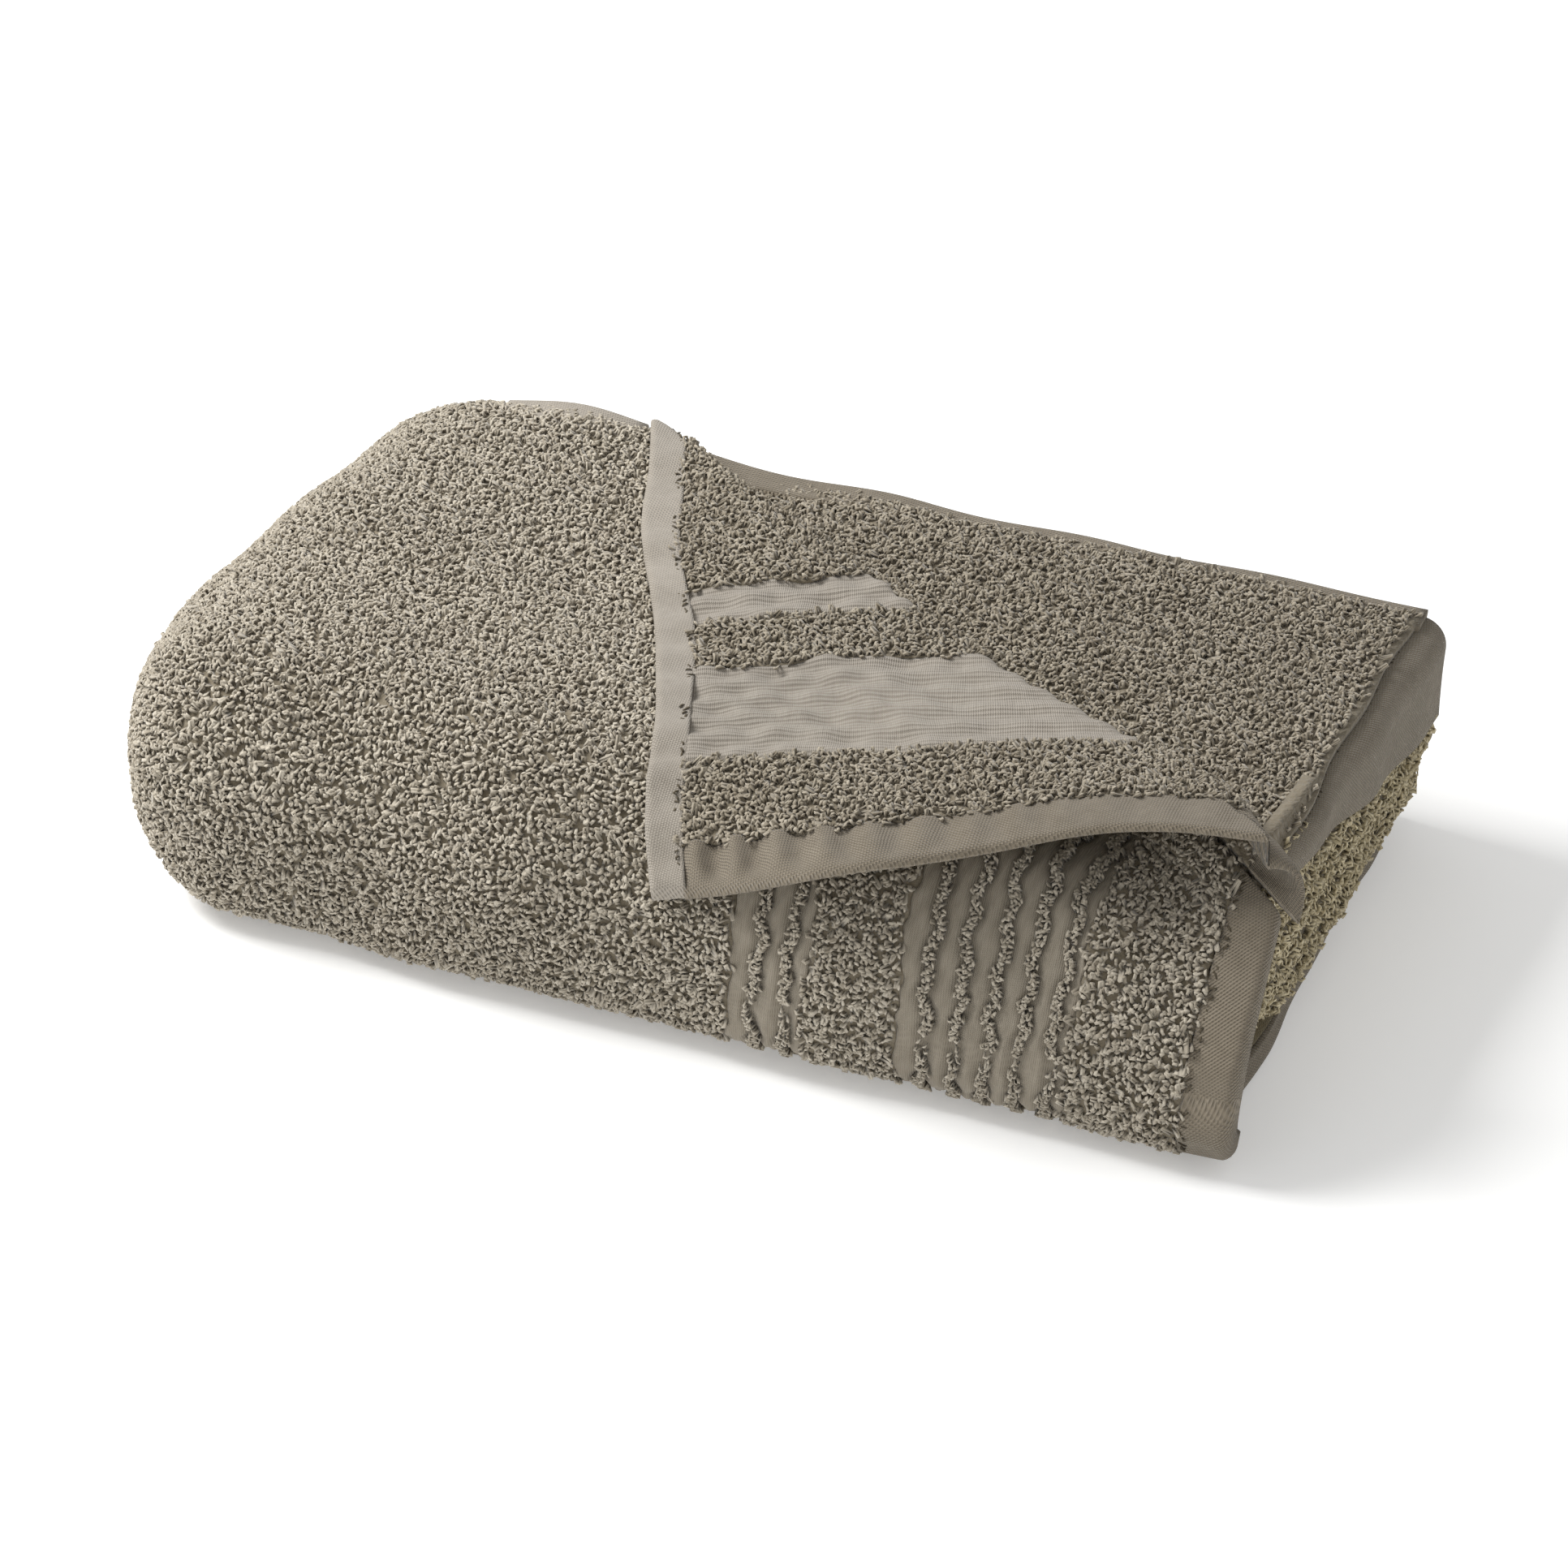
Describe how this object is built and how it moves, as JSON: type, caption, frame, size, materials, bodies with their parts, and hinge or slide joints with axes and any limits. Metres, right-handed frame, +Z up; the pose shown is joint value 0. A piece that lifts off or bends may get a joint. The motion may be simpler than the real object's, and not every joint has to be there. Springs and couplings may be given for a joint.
{
  "type": "folded bath towel",
  "caption": "Thick terry bath towel folded into a slab-shaped pile, with one corner turned back to show its woven border, cords and hems.",
  "frame": {"origin": "on the surface the pile rests on, under the middle of its plan", "axes": "+X along the pile's long side towards the hemmed end, +Y to the rear side hems, +Z up"},
  "size_m": [0.362, 0.1932, 0.0923],
  "materials": {
    "terry": "looped cotton terry, matt, greige",
    "inner_terry": "looped cotton terry in the folds, matt, warmer greige",
    "pile_cord": "raised rows of cotton loops, matt",
    "woven_band": "flat plain-woven cotton, matt, slightly puckered",
    "hem_twill": "turned and sewn cotton twill, matt",
    "sewing_thread": "cotton sewing thread, tone on tone"
  },
  "bodies": {
    "folded_pile": {"outer_ply_terry_field": "terry", "narrow_flat_band": "woven_band", "narrow_band_pile_cord_1": "pile_cord", "narrow_band_pile_cord_2": "pile_cord", "inner_terry_band": "terry", "wide_flat_band": "woven_band", "wide_band_pile_cord_1": "pile_cord", "wide_band_pile_cord_2": "pile_cord", "wide_band_pile_cord_3": "pile_cord", "wide_band_pile_cord_4": "pile_cord", "wide_band_pile_cord_5": "pile_cord", "outer_terry_band": "terry", "end_hem": "hem_twill", "end_hem_stitching": "sewing_thread", "second_ply_terry_field": "terry", "second_ply_end_hem": "hem_twill", "third_ply": "inner_terry", "fourth_ply": "inner_terry", "third_to_fourth_ply_fold": "terry", "first_side_hem_of_ply_1": "hem_twill", "second_side_hem_of_ply_1": "hem_twill", "first_side_hem_of_ply_2": "hem_twill", "second_side_hem_of_ply_2": "hem_twill", "first_side_hem_of_ply_3": "hem_twill", "second_side_hem_of_ply_3": "hem_twill", "first_side_hem_of_ply_4": "hem_twill", "second_side_hem_of_ply_4": "hem_twill", "left_roll_outer_ply": "terry", "left_roll_inner_folds": "inner_terry"},
    "turned_corner": {"corner_end_hem": "hem_twill", "corner_side_hem": "hem_twill", "corner_end_hem_stitching": "sewing_thread", "corner_side_hem_stitching": "sewing_thread", "corner_outer_terry_band": "terry", "corner_wide_flat_band": "woven_band", "corner_inner_terry_band": "terry", "corner_narrow_flat_band": "woven_band", "corner_terry_field": "terry", "corner_fold": "terry"}
  },
  "joints": [
    {"name": "corner_lift", "type": "hinge", "parent": "folded_pile", "child": "turned_corner", "pos_m": [0.0546, 0.01837, 0.0797], "axis": [-0.8525, 0.5224, -0.0183], "range_deg": [0, 150]}
  ]
}
